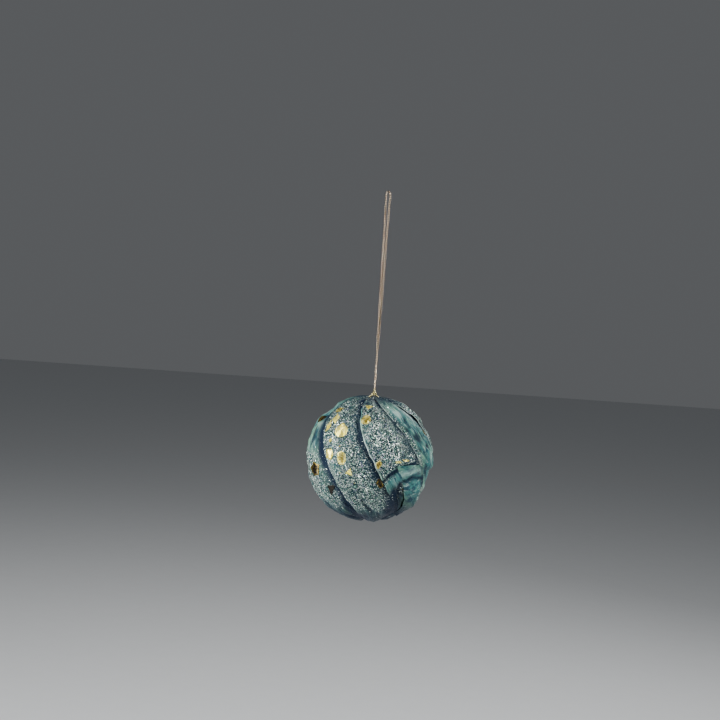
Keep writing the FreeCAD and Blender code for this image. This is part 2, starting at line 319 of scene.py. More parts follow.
def line_distance(polar, longitude, route):
    """Distance over the ball, in metres, from each place to a route of (polar, longitude)."""
    points = on_ball(CORE_RADIUS, polar, longitude)
    best = np.full(len(points), 1.0)
    for start, end in zip(route, route[1:]):
        a = on_ball(CORE_RADIUS, *np.array(start, float))
        b = on_ball(CORE_RADIUS, *np.array(end, float))
        t = np.clip((points - a) @ (b - a) / ((b - a) @ (b - a)), 0.0, 1.0)
        best = np.minimum(best, np.linalg.norm(points - a - t[:, None] * (b - a), axis=1))
    return best


def bump(distance, width):
    """1 at no distance, falling to a third at the width."""
    return np.exp(-(distance / width) ** 2)


# Where the leaves are pushed out or drawn in: how far and how wide in mm, and a route of (polar
# angle, longitude). First round the tuck beside the patch, then at the right-hand side.
TUCKS = {
    "groove": (-1.5, 1.3, [(106, 12), (96.5, 17.5), (91, 25.5), (88.5, 34), (87, 46)]),
    "cleft": (-1.6, 1.5, [(105, 29.5), (110, 30.5), (116, 32)]),
    "wedge": (-2.0, 3.4, [(114, 28.5), (124, 32), (133, 37), (142, 45)]),
    "flap": (1.1, 2.2, [(113, 20), (104, 22), (98, 28), (95, 34)]),
    "puff": (1.1, 7.0, [(62, 24), (72, 30)]),
    "notch": (-1.4, 5.0, [(99, 58), (102, 68), (104, 78)]),
}
SIDE_FORMS = {
    "swelling": (0.8, 8.0, [(74, 72), (77, 90)]),
    "waist": (-3.0, 5.0, [(100, 60), (101, 75), (101, 90), (102, 108)]),
}


def near(form, polar, longitude, width):
    """1 on the route of one of the tuck's forms, falling to 0 over a width in millimetres."""
    return bump(line_distance(polar, longitude, TUCKS[form][2]), width * MM)


def relief_of(forms, polar, longitude):
    """The height that a table of forms gives the paper, in metres."""
    return sum(height * MM * bump(line_distance(polar, longitude, route), width * MM)
               for height, width, route in forms.values())


def paper_coordinates(leaf, across, polar):
    """Millimetres across and along a leaf, and a number that sets each leaf apart."""
    width = np.radians(leaf_edge(leaf + 1, polar) - leaf_edge(leaf, polar)) * CORE_RADIUS / MM
    wide = across * width * np.sin(np.radians(polar)) ** 0.5
    along = np.radians(polar) * CORE_RADIUS / MM
    return np.stack([wide, along + 0.25 * wide, np.full_like(wide, 31.0 * leaf)], axis=-1)


def crinkle(leaf, across, polar, paper):
    """The folds and creases of the paper, in metres."""
    flat = paper_coordinates(leaf, across, polar)
    stretched = flat * np.array([1.0, 0.35, 1.0])
    folds = paper.fold_depth * noise_at(stretched, 8.0, 1.0)
    bend = 1.8 * noise_at(flat, 7.0, 5.0)[:, None] * np.array([1.0, -0.6, 0.0])
    ridges = np.abs(noise_at(stretched + bend, 4.6, 2.0))
    valleys = np.abs(noise_at(flat + bend, 7.5, 3.0))
    creases = paper.crease_depth * (0.9 * valleys - ridges + 0.05)
    small = 0.3 * MM * (0.3 - np.abs(noise_at(flat * np.array([1.0, 0.55, 1.0]), 2.1, 4.0)))
    calm = smooth_step(1.0, 0.82, across)
    calm = calm * smooth_step(4.0, 22.0, polar) * smooth_step(176, 158, polar)
    return (folds + creases) * (0.25 + 0.75 * calm) + small


def unevenness(polar, degrees, row):
    """Noise from -1 to 1 along a leaf, with swings about so many degrees long."""
    steps = [polar / degrees, np.full_like(polar, row), polar * 0]
    return noise_at(np.stack(steps, axis=-1), 1.0)


def leaf_rise(leaf, across, polar, paper):
    """Height of a leaf's outer side above the core. across is 0 at the free edge and 1 where the
    next leaf's free edge lies; past that the leaf is glued flat."""
    swell = np.sin(np.radians(polar)) ** 0.6
    step = paper.thickness + 2 * paper.gap
    sway = unevenness(polar, 22.0, leaf * 3.7)
    upper, lower, roll, roll_width, _ = LEAF_LIE[leaf]
    share = upper + (lower - upper) * smooth_step(96.0, 116.0, polar)
    lift = np.maximum(paper.lift * share * (1.0 + 0.3 * sway), step)
    lift = step + (lift - step) * swell
    within = np.clip(across, 0.0, 1.0)
    # From the free edge the leaf falls to the core, with its lip rolled down and its middle full.
    fall = 1.0 - smooth_step(0.22, 0.96, within)
    lip = 1.0 - roll * np.exp(-(within / roll_width) ** 2)
    bulge = np.sin(math.pi * within ** 0.85) ** 2
    rise = lift * fall * lip + paper.puff * swell * bulge
    if leaf == PATCH_LEAF + 1:
        rise = rise + SIDE_BULGE * MM * bump(polar - 79.0, 12.0) * bulge
    for dented, middle, half_width, amount in LEAF_DENTS:
        if leaf == dented:
            least = step * smooth_step(0.5, 0.1, within)
            kept = 1.0 - amount * bump((polar - middle) ** 2, half_width ** 2)
            rise = least + (rise - least) * kept
    return paper.floor + paper.thickness + rise


def leaf_longitude(leaf, across, polar, paper):
    """Longitude of a place on a leaf, whose free edge strays a little from its line."""
    start = leaf_edge(leaf, polar)
    width = leaf_edge(leaf + 1, polar) - start
    stray = np.degrees(paper.wander * unevenness(polar, 9.0, 5.0 * leaf) / CORE_RADIUS)
    return start + across * width + stray * (1.0 - np.clip(across, 0.0, 1.0))


def leaf_surface(leaf, across, polar, paper):
    """The outer side of a leaf: its radius from the ball's centre, and its longitude."""
    across = np.asarray(across, float)
    polar = np.asarray(polar, float)
    longitude = leaf_longitude(leaf, across, polar, paper)
    rise = leaf_rise(leaf, across, polar, paper) + crinkle(leaf, across, polar, paper)
    if leaf == PATCH_LEAF:
        rise = rise + relief_of(TUCKS, polar, longitude) * smooth_step(1.05, 0.85, across)
    elif leaf in (PATCH_LEAF + 1, PATCH_LEAF + 2):
        rise = rise + relief_of(SIDE_FORMS, polar, longitude) * smooth_step(1.05, 0.9, across)
    least = paper.floor + paper.thickness
    return CORE_RADIUS + np.maximum(rise, least), longitude


def glitter_mask(leaf, across, polar, longitude):
    """How thickly the glitter lies, from 0 to 1: in soft clouds, thinner near both tips, and with
    none on the free edge, the flap and the groove of the leaf that the patch is tucked into."""
    upper, lower = LEAF_GLITTER[leaf]
    base = upper + (lower - upper) * smooth_step(78.0, 96.0, polar)
    cloud = noise_at(on_ball(1.0, polar, longitude), 0.34, 7.0 + leaf)
    mask = base * np.clip(0.9 + 0.7 * cloud, 0.4, 1.0)
    if leaf == PATCH_LEAF + 1:
        # A plain leaf, but some grains have stuck along its free edge.
        mask = np.maximum(mask, 0.5 * smooth_step(0.16, 0.02, across + 0.08 * cloud))
    if leaf == PATCH_LEAF:
        mask *= smooth_step(0.012, 0.035, across)
        for form, first, low, high in (("flap", 0, 2.5, 5.0), ("groove", 1, 0.5, 2.5)):
            away = line_distance(polar, longitude, TUCKS[form][2][first:])
            mask *= smooth_step(low * MM, high * MM, away)
    # Thinner near both tips, which bares the dark ground as painted shade.
    thin = 0.85 * smooth_step(116.0, 144.0, polar) + 0.4 * smooth_step(36.0, 18.0, polar)
    return mask * (1.0 - thin) * smooth_step(1.0, 0.96, across)


# ---- materials ----------------------------------------------------------------------------
MATH, VECTOR, MIX = "ShaderNodeMath", "ShaderNodeVectorMath", "ShaderNodeMix"
NOISE, RANGE, NAMED = "ShaderNodeTexNoise", "ShaderNodeMapRange", "ShaderNodeAttribute"
STORE = "GeometryNodeStoreNamedAttribute"


def add(tree, kind, inputs=(), out=0, **settings):
    """Adds a node with its settings and links, and gives one of its outputs, or the node where out
    is None. inputs is a list in the sockets' order, or a dict; None leaves a socket as it is."""
    made = tree.nodes.new(kind)
    for key, value in settings.items():
        setattr(made, key, value)
    for key, value in (inputs.items() if isinstance(inputs, dict) else enumerate(inputs)):
        if isinstance(value, bpy.types.NodeSocket):
            tree.links.new(value, made.inputs[key])
        elif value is not None:
            made.inputs[key].default_value = value
    return made if out is None else made.outputs[out]


def new_material(name):
    """A material without nodes yet, and add for its tree."""
    material = bpy.data.materials.new(name)
    material.use_nodes = True
    material.node_tree.nodes.clear()
    return material, partial(add, material.node_tree)


def finished(material, **inputs):
    """Ends a material with one shader. A plain value is set on the shader's own socket."""
    named = {key.replace("_", " "): value for key, value in inputs.items()}
    shader = add(material.node_tree, "ShaderNodeBsdfPrincipled", named)
    add(material.node_tree, "ShaderNodeOutputMaterial", [shader], None)
    return material


def millimetres(node):
    """Places on a piece, in millimetres, so that a pattern's scale is one over its real size."""
    place_of = node("ShaderNodeTexCoord", out="Object")
    return node(VECTOR, (place_of, (1 / MM, 1 / MM, 1 / MM)), operation="MULTIPLY")


def laid(node, under, over, pattern, low, high, most=1.0):
    """One colour laid over another where a pattern goes from low to high, at most so thickly."""
    shown = node(RANGE, (pattern, low, high, 0.0, most), interpolation_type="SMOOTHSTEP")
    return node(MIX, {0: shown, 6: under, 7: over}, 2, data_type="RGBA")


def set_tints(color_ramp, stops):
    """Gives a grain the tint of the last stop that its random number has passed."""
    color_ramp.interpolation = "CONSTANT"
    while len(color_ramp.elements) < len(stops):
        color_ramp.elements.new(1.0)
    for element, (position, tint) in zip(color_ramp.elements, stops):
        element.position, element.color = position, tint


def marbled_colour(node, paper):
    """Marbled paper: clouds 12 to 20 mm long, veins 2 to 3 mm wide that run along the leaf, and
    pulled fibres 0.8 mm wide; ridges and free edges are painted paler as highlights, and painted
    shade is laid over the valleys, the folds and near the tips. Gives the colour and its patterns,
    the last of them fine creases 1.5 to 3 mm apart."""
    flat = node(NAMED, out="Vector", attribute_name="paper")
    patterns = []
    for stretch, scale, detail, roughness in ((0.55, 0.09, 3.0, 0.55), (0.3, 0.40, 4.0, 0.62),
                                              (0.14, 1.15, 3.0, 0.7), (0.6, 0.5, 2.0, 0.55)):
        pulled = node(VECTOR, (flat, (1, stretch, 1)), operation="MULTIPLY")
        patterns.append(node(NOISE, (pulled, None, scale, detail, roughness)))
    clouds, veins, fibres, crumple = patterns
    base = laid(node, paper.teal, paper.green, clouds, 0.42, 0.62)
    for tint, pattern, low, high, most in ((paper.navy, veins, 0.50, 0.62, 0.85),
                                           (paper.green, veins, 0.45, 0.33, 0.6),
                                           (paper.pale, fibres, 0.54, 0.70, 0.55),
                                           (paper.navy, fibres, 0.46, 0.32, 0.7)):
        base = laid(node, base, tint, pattern, low, high, most)
    # Painted highlight on ridges and free edges.
    worn = node(NAMED, out="Fac", attribute_name="worn")
    base = node(MIX, {0: worn, 6: base, 7: paper.pale}, 2, data_type="RGBA")
    # Half as dark to the eye is a good deal darker in light, so the painted shade's amount is
    # bent.
    left = node(MATH, (1.0, node(NAMED, out="Fac", attribute_name="deep")), operation="SUBTRACT")
    left = node(MATH, (left, 2.5), operation="POWER")
    return node(MIX, {0: left, 6: paper.painted_shade, 7: base}, 2, data_type="RGBA"), fibres, veins, crumple


def make_paper(paper, glitter):
    """Tissue paper marbled with inks and glued down in layers: matt, with a skin of dried glue
    that gives it a soft sheen, and glitter strewn into that glue where the mask says so."""
    material, node = new_material("marbled_tissue_paper")
    marbled, fibres, veins, crumple = marbled_colour(node, paper)
    mask = node(NAMED, out="Fac", attribute_name="glitter")
    deep = node(NAMED, out="Fac", attribute_name="deep")
    # Painted shade: fewer glitter grains, and less of the glitter's dark ground, show where it
    # lies.
    shown = node(MATH, (deep, -0.75, 1.0), operation="MULTIPLY_ADD")
    # Fine glitter, 0.45 mm across: each cell has its own tint and its own lean.
    cell = node("ShaderNodeTexVoronoi", (millimetres(node), None, 1 / 0.45), "Color")
    pick = node("ShaderNodeSeparateColor", [cell], None).outputs
    tints = node("ShaderNodeValToRGB", [pick[0]], None)
    set_tints(tints.color_ramp, [
        (0.0, glitter.smoke), (0.42, paper.under), (0.66, glitter.mint), (0.77, glitter.silver),
        (0.90, glitter.lilac), (0.95, glitter.silver)])
    strewn = node(RANGE, (pick[1], 0.95, 0.55), interpolation_type="SMOOTHSTEP")
    for share in (node(RANGE, (mask, 0.05, 0.6), interpolation_type="SMOOTHSTEP"), shown):
        strewn = node(MATH, (strewn, share), operation="MULTIPLY")
    painted = node(MATH, (node(MATH, (mask, 0.85), operation="MULTIPLY"), shown),
                   operation="MULTIPLY")
    ground = node(MIX, {0: painted, 6: marbled, 7: paper.under}, 2, data_type="RGBA")
    rough = node(MATH, (fibres, 0.25, 0.4), operation="MULTIPLY_ADD")
    # The creases are sharp at the crest, like those of crumpled tissue.
    crest = node(MATH, [node(MATH, (crumple, 0.5), operation="SUBTRACT")], operation="ABSOLUTE")
    height = node(MATH, (fibres, 0.5, veins), operation="MULTIPLY_ADD")
    height = node(MATH, (crest, -5.0, height), operation="MULTIPLY_ADD")
    lean = node(VECTOR, (cell, (0.5, 0.5, 0.5)), operation="SUBTRACT")
    amount = node(MATH, (strewn, 0.9), operation="MULTIPLY")
    lean = node(VECTOR, {0: lean, "Scale": amount}, operation="SCALE")
    relief = node("ShaderNodeBump", {"Strength": 0.9, "Distance": 0.3 * MM, "Height": height})
    lean = node(VECTOR, (relief, lean), operation="ADD")
    return finished(
        material, Specular_IOR_Level=0.12,
        Base_Color=node(MIX, {0: strewn, 6: ground, 7: tints.outputs[0]}, 2, data_type="RGBA"),
        Metallic=node(MATH, (strewn, 0.75), operation="MULTIPLY"),
        Roughness=node(MATH, (strewn, -0.2, rough), operation="MULTIPLY_ADD"),
        Normal=node(VECTOR, [lean], operation="NORMALIZE"))


def make_grain_material(glitter):
    """Glitter: hexagons of foiled polyester film, so bright, smooth metal in several tints."""
    material, node = new_material("foiled_film_glitter")
    chance = node(NAMED, out="Fac", attribute_name="grain")
    tints = node("ShaderNodeValToRGB", [chance], None)
    set_tints(tints.color_ramp, [
        (0.0, glitter.silver), (0.42, glitter.smoke), (0.70, glitter.mint), (0.82, glitter.lilac),
        (0.90, glitter.silver)])
    return finished(material, Base_Color=tints.outputs[0], Metallic=0.85, Roughness=0.3)


def make_gold_leaf(gold):
    """Beaten imitation gold leaf laid on size: bright metal, rubbed and cracked, and tarnished
    nearly black on some flakes."""
    material, node = new_material("beaten_gold_leaf")
    place_mm = millimetres(node)
    clouds, wrinkles = (node(NOISE, (place_mm, None, scale, 4.0, 0.65)) for scale in (0.55, 1.1))
    bright = node(MATH, (node(NAMED, out="Fac", attribute_name="bright"),
                         node(MATH, (clouds, 1.1, -0.55), operation="MULTIPLY_ADD")),
                  operation="ADD")
    metal = laid(node, gold.bright, gold.pale, clouds, 0.4, 0.62)
    metal = laid(node, metal, gold.deep, wrinkles, 0.55, 0.7, 0.7)
    rubbed = laid(node, gold.black, gold.deep, bright, 0.1, 0.5)
    relief = node("ShaderNodeBump", {"Strength": 0.8, "Distance": 0.15 * MM, "Height": wrinkles})
    return finished(material, Base_Color=laid(node, rubbed, metal, bright, 0.4, 0.9), Metallic=0.6,
                    Roughness=node(MATH, (wrinkles, 0.3, 0.12), operation="MULTIPLY_ADD"),
                    Normal=relief)


def make_cord_material(cord):
    """Metallic cord: polyester foil wound over each ply, pale gold with copper tones, with the
    dark thread showing between the turns. Real turns are 0.7 mm apart, too fine to show, so they
    are drawn 1.6 mm apart, where the stripes also stand in for the cord's bright beads and dark
    grooves as painted highlight and painted shade. The sides of the plies that face the cord's
    middle get painted shade. Near the knot the foil is pressed flat and covers the thread."""
    material, node = new_material("foil_wound_cord")
    along = node(NAMED, out="Fac", attribute_name="along")
    turn = node(MATH, (along, 2 * math.pi / cord.winding), operation="MULTIPLY")
    wound = node(MATH, [turn], operation="SINE")
    place_mm = millimetres(node)
    height = node("ShaderNodeSeparateXYZ", [place_mm], 2)
    knot = CORD_BOTTOM / MM
    pressed = node(RANGE, (height, knot + 19, knot + 9), interpolation_type="SMOOTHSTEP")
    # Stripes of foil and dark thread, partly painted highlight and painted shade for the cord's
    # bright beads.
    strips = node(RANGE, (wound, -0.1, 0.45), interpolation_type="SMOOTHSTEP")
    strips = node(MATH, (strips, pressed), operation="MAXIMUM")
    tones = node(NOISE, (place_mm, None, 0.6, 3.0, 0.7))
    foil = laid(node, cord.gold, cord.copper, tones, 0.48, 0.66)
    foil = laid(node, foil, cord.knot, height, knot + 3, knot - 0.5)
    foil = node(MIX, {0: strips, 6: cord.shade, 7: foil}, 2, data_type="RGBA")
    crown = node(NAMED, out="Fac", attribute_name="crown")
    relief = node("ShaderNodeBump", {"Strength": 0.6, "Distance": 0.05 * MM, "Height": wound})
    # Painted shade: the sides of the plies that face the cord's middle take the dark colour.
    return finished(material, Base_Color=laid(node, cord.shade, foil, crown, 0.55, 0.93),
                    Metallic=0.85, Roughness=0.24, Normal=relief)


def make_fibre_material(name, base, dark, flecks, roughness):
    """A plain fibrous material: moulded pulp, grey card or gummed kraft paper."""
    material, node = new_material(name)
    felt = node(NOISE, (millimetres(node), None, flecks, 5.0, 0.7))
    relief = node("ShaderNodeBump", {"Strength": 0.5, "Distance": 0.2 * MM, "Height": felt})
    return finished(material, Base_Color=laid(node, linear(base), linear(dark), felt, 0.4, 0.7),
                    Roughness=roughness, Normal=relief)


def make_floor_paint(stage):
    """Matt emulsion paint, rolled on: even, with a faint mottle 25 mm wide."""
    material, node = new_material("matt_painted_floor")
    mottle = node(NOISE, (node("ShaderNodeTexCoord", out="Object"), None, 40.0, 3.0, 0.55))
    lighter = [min(1.0, c * 1.05) for c in stage.floor]
    tint = node(MIX, {0: mottle, 6: stage.floor, 7: lighter}, 2, data_type="RGBA")
    return finished(material, Base_Color=tint, Roughness=0.85)


def material_of(name, maker, *settings):
    """A material, made the first time that it is asked for."""
    return bpy.data.materials.get(name) or maker(*settings)


def paper_and_finish(context):
    """The paper's settings and its material."""
    settings = context.scene.paper_ball
    return settings.paper, material_of("marbled_tissue_paper", make_paper, settings.paper,
                                       settings.glitter)


# ---- geometry nodes -----------------------------------------------------------------------
def new_tree(name, inputs):
    """A geometry nodes tree with named inputs; gives it, add for it, and its input sockets."""
    tree = bpy.data.node_groups.new(name, "GeometryNodeTree")
    tree.interface.new_socket("Geometry", in_out="INPUT", socket_type="NodeSocketGeometry")
    sockets = {}
    for key, kind in inputs.items():
        socket = tree.interface.new_socket(key, in_out="INPUT", socket_type="NodeSocket" + kind)
        sockets[key] = socket.identifier
    tree.interface.new_socket("Geometry", in_out="OUTPUT", socket_type="NodeSocketGeometry")
    tree["sockets"] = json.dumps(sockets)
    return tree, partial(add, tree), add(tree, "NodeGroupInput", out=None).outputs


def finish_tree(tree, geometry, material):
    """Ends a tree with real geometry in its material."""
    real = add(tree, "GeometryNodeRealizeInstances", [geometry])
    shown = add(tree, "GeometryNodeSetMaterial", {"Geometry": real, "Material": material})
    add(tree, "NodeGroupOutput", [shown], None)
    return tree


def scatter_tree():
    """Small flat plates with straight sides, strewn over a surface as thickly as its attribute
    named mask says, each leaning its own way and carrying its own random number."""
    name = "Strewn plates"
    if name in bpy.data.node_groups:
        return bpy.data.node_groups[name]
    tree, node, given = new_tree(name, {"Mask": "String", "Density": "Float", "Width": "Float",
                                        "Tilt": "Float", "Rise": "Float", "Corners": "Int",
                                        "Seed": "Int", "Material": "Material"})
    mask = node("GeometryNodeInputNamedAttribute", {"Name": given["Mask"]}, data_type="FLOAT")
    density = node(MATH, (given["Density"], mask), operation="MULTIPLY")
    points = node("GeometryNodeDistributePointsOnFaces",
                  {"Mesh": given["Geometry"], "Density": density, "Seed": given["Seed"]},
                  None).outputs
    chance = node("FunctionNodeRandomValue", {2: 0.0, 3: 1.0, "Seed": given["Seed"]}, 1)
    kept = node(STORE, {"Geometry": points["Points"], "Name": "grain", "Value": chance},
                data_type="FLOAT", domain="POINT")
    rise = node(MATH, (given["Rise"], chance), operation="MULTIPLY")
    lifted = node(VECTOR, {0: points["Normal"], "Scale": rise}, operation="SCALE")
    raised = node("GeometryNodeSetPosition", {"Geometry": kept, "Offset": lifted})
    least = node(MATH, (given["Tilt"], -1.0), operation="MULTIPLY")
    low = node("ShaderNodeCombineXYZ", (least, least, 0.0))
    high = node("ShaderNodeCombineXYZ", (given["Tilt"], given["Tilt"], 2 * math.pi))
    lean = node("FunctionNodeRandomValue", {0: low, 1: high, "Seed": 11}, data_type="FLOAT_VECTOR")
    turned = node("FunctionNodeRotateRotation",
                  {"Rotation": points["Rotation"],
                   "Rotate By": node("FunctionNodeEulerToRotation", [lean])},
                  rotation_space="LOCAL")
    radius = node(MATH, (given["Width"], 0.5), operation="MULTIPLY")
    plate = node("GeometryNodeMeshCircle", {"Vertices": given["Corners"], "Radius": radius},
                 fill_type="NGON")
    size = node("FunctionNodeRandomValue", {2: 0.4, 3: 1.0, "Seed": 23}, 1)
    strewn = node("GeometryNodeInstanceOnPoints",
                  {"Points": raised, "Instance": plate, "Rotation": turned, "Scale": size})
    return finish_tree(tree, strewn, given["Material"])


def cord_tree():
    """Plies that wind round a curve, each a round tube."""
    name = "Twisted plies"
    if name in bpy.data.node_groups:
        return bpy.data.node_groups[name]
    tree, node, given = new_tree(name, {"Diameter": "Float", "Pitch": "Float", "Plies": "Int",
                                        "Step": "Float", "Material": "Material"})
    even = node("GeometryNodeResampleCurve",
                {"Curve": given["Geometry"], "Length": given["Step"]}, mode="LENGTH")
    middle = node("GeometryNodeInputPosition")
    marked = node(STORE, {"Geometry": even, "Name": "middle", "Value": middle},
                  data_type="FLOAT_VECTOR", domain="POINT")
    untwisted = node("GeometryNodeSetCurveNormal", {"Curve": marked}, mode="MINIMUM_TWIST")
    along = node("GeometryNodeSplineParameter", out="Length")
    kept = node(STORE, {"Geometry": untwisted, "Name": "along", "Value": along},
                data_type="FLOAT", domain="POINT")
    plies = node("GeometryNodeDuplicateElements", {"Geometry": kept, "Amount": given["Plies"]},
                 None, domain="SPLINE").outputs
    share = node(MATH, (plies["Duplicate Index"], given["Plies"]), operation="DIVIDE")
    turns = node(MATH, (along, given["Pitch"]), operation="DIVIDE")
    turns = node(MATH, (turns, share), operation="ADD")
    angle = node(MATH, (turns, 2 * math.pi), operation="MULTIPLY")
    normal = node("GeometryNodeInputNormal")
    side = node(VECTOR, (node("GeometryNodeInputTangent"), normal), operation="CROSS_PRODUCT")
    # Three plies of 0.46 of the cord's diameter just touch at 0.27 of it from the middle.
    reach = node(MATH, (given["Diameter"], 0.27), operation="MULTIPLY")
    offset = []
    for direction, wave in ((normal, "COSINE"), (side, "SINE")):
        far = node(MATH, (reach, node(MATH, [angle], operation=wave)), operation="MULTIPLY")
        offset.append(node(VECTOR, {0: direction, "Scale": far}, operation="SCALE"))
    wound = node("GeometryNodeSetPosition",
                 {"Geometry": plies["Geometry"], "Offset": node(VECTOR, offset, operation="ADD")})
    radius = node(MATH, (given["Diameter"], 0.23), operation="MULTIPLY")
    ply = node("GeometryNodeCurvePrimitiveCircle", {"Resolution": 9, "Radius": radius})
    tube = node("GeometryNodeCurveToMesh",
                {"Curve": wound, "Profile Curve": ply, "Fill Caps": True})
    # How far out a point lies from the cord's middle, 1 at its crown.
    core = node("GeometryNodeInputNamedAttribute", {"Name": "middle"}, data_type="FLOAT_VECTOR")
    gap = node(VECTOR, (middle, core), "Value", operation="DISTANCE")
    radius = node(MATH, (given["Diameter"], 0.5), operation="MULTIPLY")
    out = node(MATH, (gap, radius), operation="DIVIDE")
    crowned = node(STORE, {"Geometry": tube, "Name": "crown", "Value": out},
                   data_type="FLOAT", domain="POINT")
    smooth = node("GeometryNodeSetShadeSmooth", [crowned])
    return finish_tree(tree, smooth, given["Material"])


def grown(source, tree, values):
    """The mesh that a tree makes from an object. The object and its modifier are removed."""
    modifier = source.modifiers.new("made", "NODES")
    modifier.node_group = tree
    sockets = json.loads(tree["sockets"])
    for key, value in values.items():
        modifier[sockets[key]] = value
    bpy.context.view_layer.update()
    evaluated = source.evaluated_get(bpy.context.evaluated_depsgraph_get())
    mesh = bpy.data.meshes.new_from_object(evaluated)
    source.modifiers.remove(modifier)
    bpy.data.objects.remove(source)
    return mesh


# ---- the leaves ---------------------------------------------------------------------------
def bands(rows, around, first=0):
    """The faces between rings of points that are numbered in order from first."""
    faces = []
    for start in range(first, first + (rows - 1) * around, around):
        for c in range(around):
            n = (c + 1) % around
            faces.append((start + c, start + around + c, start + around + n, start + n))
    return faces


def closed_sheet(outer, inner, rim):
    """Points and faces of a closed sheet. outer and inner are grids of points, rows along it and
    columns across; rim is a list of columns that round the edge at column 0."""
    rows, columns = outer.shape[:2]
    ring = [outer[:, c] for c in range(columns - 1, -1, -1)] + rim
    ring += [inner[:, c] for c in range(columns)]
    points = np.stack(ring, axis=1)
    around = points.shape[1]
    faces = bands(rows, around)
    for r, flip in ((0, False), (rows - 1, True)):
        base = r * around
        for c in range(columns - 1):
            outer_pair = (base + columns - 1 - c, base + columns - 2 - c)
            inner_pair = (base + around - columns + c + 1, base + around - columns + c)
            quad = outer_pair + inner_pair
            faces.append(quad[::-1] if flip else quad)
        cap = tuple(base + columns - 1 + c for c in range(len(rim) + 2))
        faces.append(cap[::-1] if flip else cap)
    return points.reshape(-1, 3), faces, around


def sheet_piece(name, surface, left, right, polars, grid, thickness, material, stands_for):
    """A closed sheet of paper over part of the ball. surface(across, polar) gives the radius and
    longitude of its outer side, the place on the paper, its glitter, its painted highlight and its
    painted shade. left(v) is where it starts, v of the way down."""
    rows, columns = grid
    polar = np.repeat(np.linspace(*polars, rows), columns)
    share = np.tile(np.linspace(0.0, 1.0, columns) ** 1.15, rows)
    v = np.repeat(np.linspace(0.0, 1.0, rows), columns)
    across = left(v) + (right - left(v)) * share
    radius, longitude, flat, glitter, worn, deep = surface(across, polar)
    outer = on_ball(radius, polar, longitude).reshape(rows, columns, 3)
    inner = on_ball(radius - thickness, polar, longitude).reshape(rows, columns, 3)
    # The free edge is round: three rows of points go half round it, from the outer side.
    middle = (outer[:, 0] + inner[:, 0]) / 2
    outwards = outer[:, 0] - outer[:, 1]
    outwards /= np.linalg.norm(outwards, axis=1)[:, None]
    up = (outer[:, 0] - inner[:, 0]) / 2
    rim = [middle + up * math.cos(a) + outwards * thickness / 2 * math.sin(a)
           for a in (math.pi / 4, math.pi / 2, math.pi * 3 / 4)]
    points, faces, around = closed_sheet(outer, inner, rim)

    def spread(values, on_rim=1, on_inside=1):
        """Values of the outer side, taken round the rim and over the inner side as well."""
        values = values.reshape(rows, columns, -1)
        rim_values = [values[:, 0] * on_rim] * len(rim)
        ring = [values[:, ::-1], np.stack(rim_values, axis=1), values * on_inside]
        return np.concatenate(ring, axis=1).reshape(rows * around, -1).squeeze()

    attributes = {"paper": spread(flat), "glitter": spread(glitter, 0, 0),
                  "worn": spread(worn, 1, 0), "deep": spread(deep)}
    return mesh_piece(name, points, faces, material, attributes, stands_for)


def painted_light_and_shade(rise, across, polar, edge=1.0, dark=0.8):
    """How much painted highlight and painted shade the paper gets, from its relief: ridges and the
    free edge are painted pale as highlights, and painted shade darkens the folds, both tips and
    the valley beside the next leaf."""
    worn = 0.5 * smooth_step(0.2 * MM, 1.0 * MM, rise)
    worn = worn + 0.9 * edge * smooth_step(0.025, 0.0, across)
    start = 0.92 - 0.34 * dark + 0.05 * np.sin(polar / 5.0) * np.sin(polar / 13.0)
    valley = smooth_step(0.0, 1.0, (across - start) / (0.95 - start))
    tips = smooth_step(38.0, 10.0, polar) + smooth_step(118.0, 152.0, polar)
    deep = dark * valley + 0.6 * smooth_step(-0.1 * MM, -0.9 * MM, rise) + 0.7 * tips
    return np.clip(worn, 0, 1), np.clip(deep, 0, 1)


def patch_left(polar):
    """Where the patch's left edge lies, as a share of its leaf's width."""
    return np.interp(polar, np.linspace(*PATCH_ENDS, len(PATCH_LEFT)), PATCH_LEFT)


def under_patch(across, polar):
    """1 where the patch hides the leaf below it, falling to 0 just inside the patch's edges."""
    inside = smooth_step(0.01, 0.07, across - patch_left(polar))
    return inside * smooth_step(89.0, 91.5, polar) * smooth_step(145.0, 142.0, polar)


